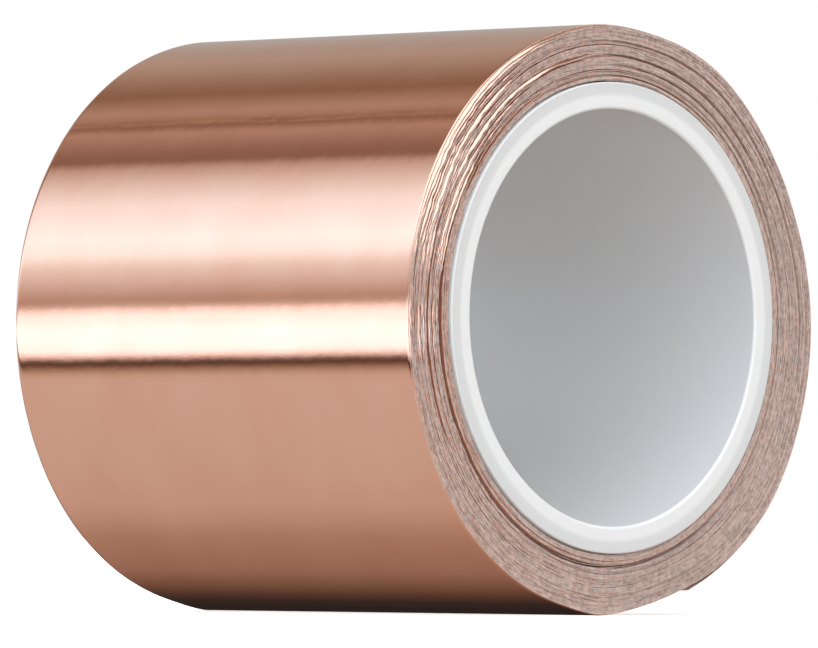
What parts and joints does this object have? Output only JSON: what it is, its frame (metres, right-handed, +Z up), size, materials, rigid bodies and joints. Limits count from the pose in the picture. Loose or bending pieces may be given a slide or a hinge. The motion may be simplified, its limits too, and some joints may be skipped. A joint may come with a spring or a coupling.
{
  "type": "copper foil tape roll",
  "caption": "Wide roll of adhesive-backed copper foil tape, foil side out, on a white plastic core; its free end lifts and the foil peels off the liner.",
  "frame": {"origin": "centre of the core's bore, on its axis at half its length", "axes": "+Y along the bore's axis; +Z up, with the roll lying on its round side; the tape's cut end is low on the +X side"},
  "size_m": [0.1083, 0.103, 0.1081],
  "materials": {
    "copper": null,
    "core_plastic": "smooth extruded white plastic, semi-matt",
    "liner": "coated release paper",
    "adhesive": "soft pressure-sensitive adhesive, satin",
    "tack_strip": "double-sided tissue tape"
  },
  "bodies": {
    "roll": {"core_tube": "core_plastic", "core_tack_strip": "tack_strip", "liner_wound_turns": "liner", "adhesive_wound_turns": "adhesive", "foil_wound_turns": "copper", "foil_outer_turn": "copper"},
    "tail_1": {"foil_tail_1": "copper", "adhesive_tail_1": "adhesive", "liner_tail_1": "liner"},
    "tail_2": {"foil_tail_2": "copper", "adhesive_tail_2": "adhesive", "liner_tail_2": "liner"},
    "tail_3": {"foil_tail_3": "copper", "adhesive_tail_3": "adhesive", "liner_tail_3": "liner"},
    "tail_4": {"foil_tail_4": "copper", "adhesive_tail_4": "adhesive", "liner_tail_4": "liner"},
    "foil_end_1": {"foil_end_1": "copper", "adhesive_end_1": "adhesive"},
    "foil_end_2": {"foil_end_2": "copper", "adhesive_end_2": "adhesive"},
    "foil_end_3": {"foil_end_3": "copper", "adhesive_end_3": "adhesive"}
  },
  "joints": [
    {"name": "tail_lift", "type": "hinge", "parent": "roll", "child": "tail_1", "pos_m": [0.05109, 0, -0.01805], "axis": [0, -1, 0], "range_deg": [0, 24]},
    {"name": "tail_bend_2", "type": "hinge", "parent": "tail_1", "child": "tail_2", "pos_m": [0.04835, 0, -0.02449], "axis": [0, -1, 0], "range_deg": [0, 24]},
    {"name": "tail_bend_3", "type": "hinge", "parent": "tail_2", "child": "tail_3", "pos_m": [0.04482, 0, -0.03053], "axis": [0, -1, 0], "range_deg": [0, 24]},
    {"name": "tail_bend_4", "type": "hinge", "parent": "tail_3", "child": "tail_4", "pos_m": [0.04056, 0, -0.03607], "axis": [0, -1, 0], "range_deg": [0, 24]},
    {"name": "foil_peel", "type": "hinge", "parent": "tail_4", "child": "foil_end_1", "pos_m": [0.03782, 0, -0.03899], "axis": [0, -1, 0], "range_deg": [0, 30]},
    {"name": "foil_bend_2", "type": "hinge", "parent": "foil_end_1", "child": "foil_end_2", "pos_m": [0.03411, 0, -0.04234], "axis": [0, -1, 0], "range_deg": [0, 30]},
    {"name": "foil_bend_3", "type": "hinge", "parent": "foil_end_2", "child": "foil_end_3", "pos_m": [0.02928, 0, -0.0459], "axis": [0, -1, 0], "range_deg": [0, 30]}
  ],
  "couplings": [
    {"joint": "tail_bend_2", "follows": "tail_lift", "ratio": 1},
    {"joint": "tail_bend_3", "follows": "tail_lift", "ratio": 1},
    {"joint": "tail_bend_4", "follows": "tail_lift", "ratio": 1},
    {"joint": "foil_bend_2", "follows": "foil_peel", "ratio": 1},
    {"joint": "foil_bend_3", "follows": "foil_peel", "ratio": 1}
  ]
}
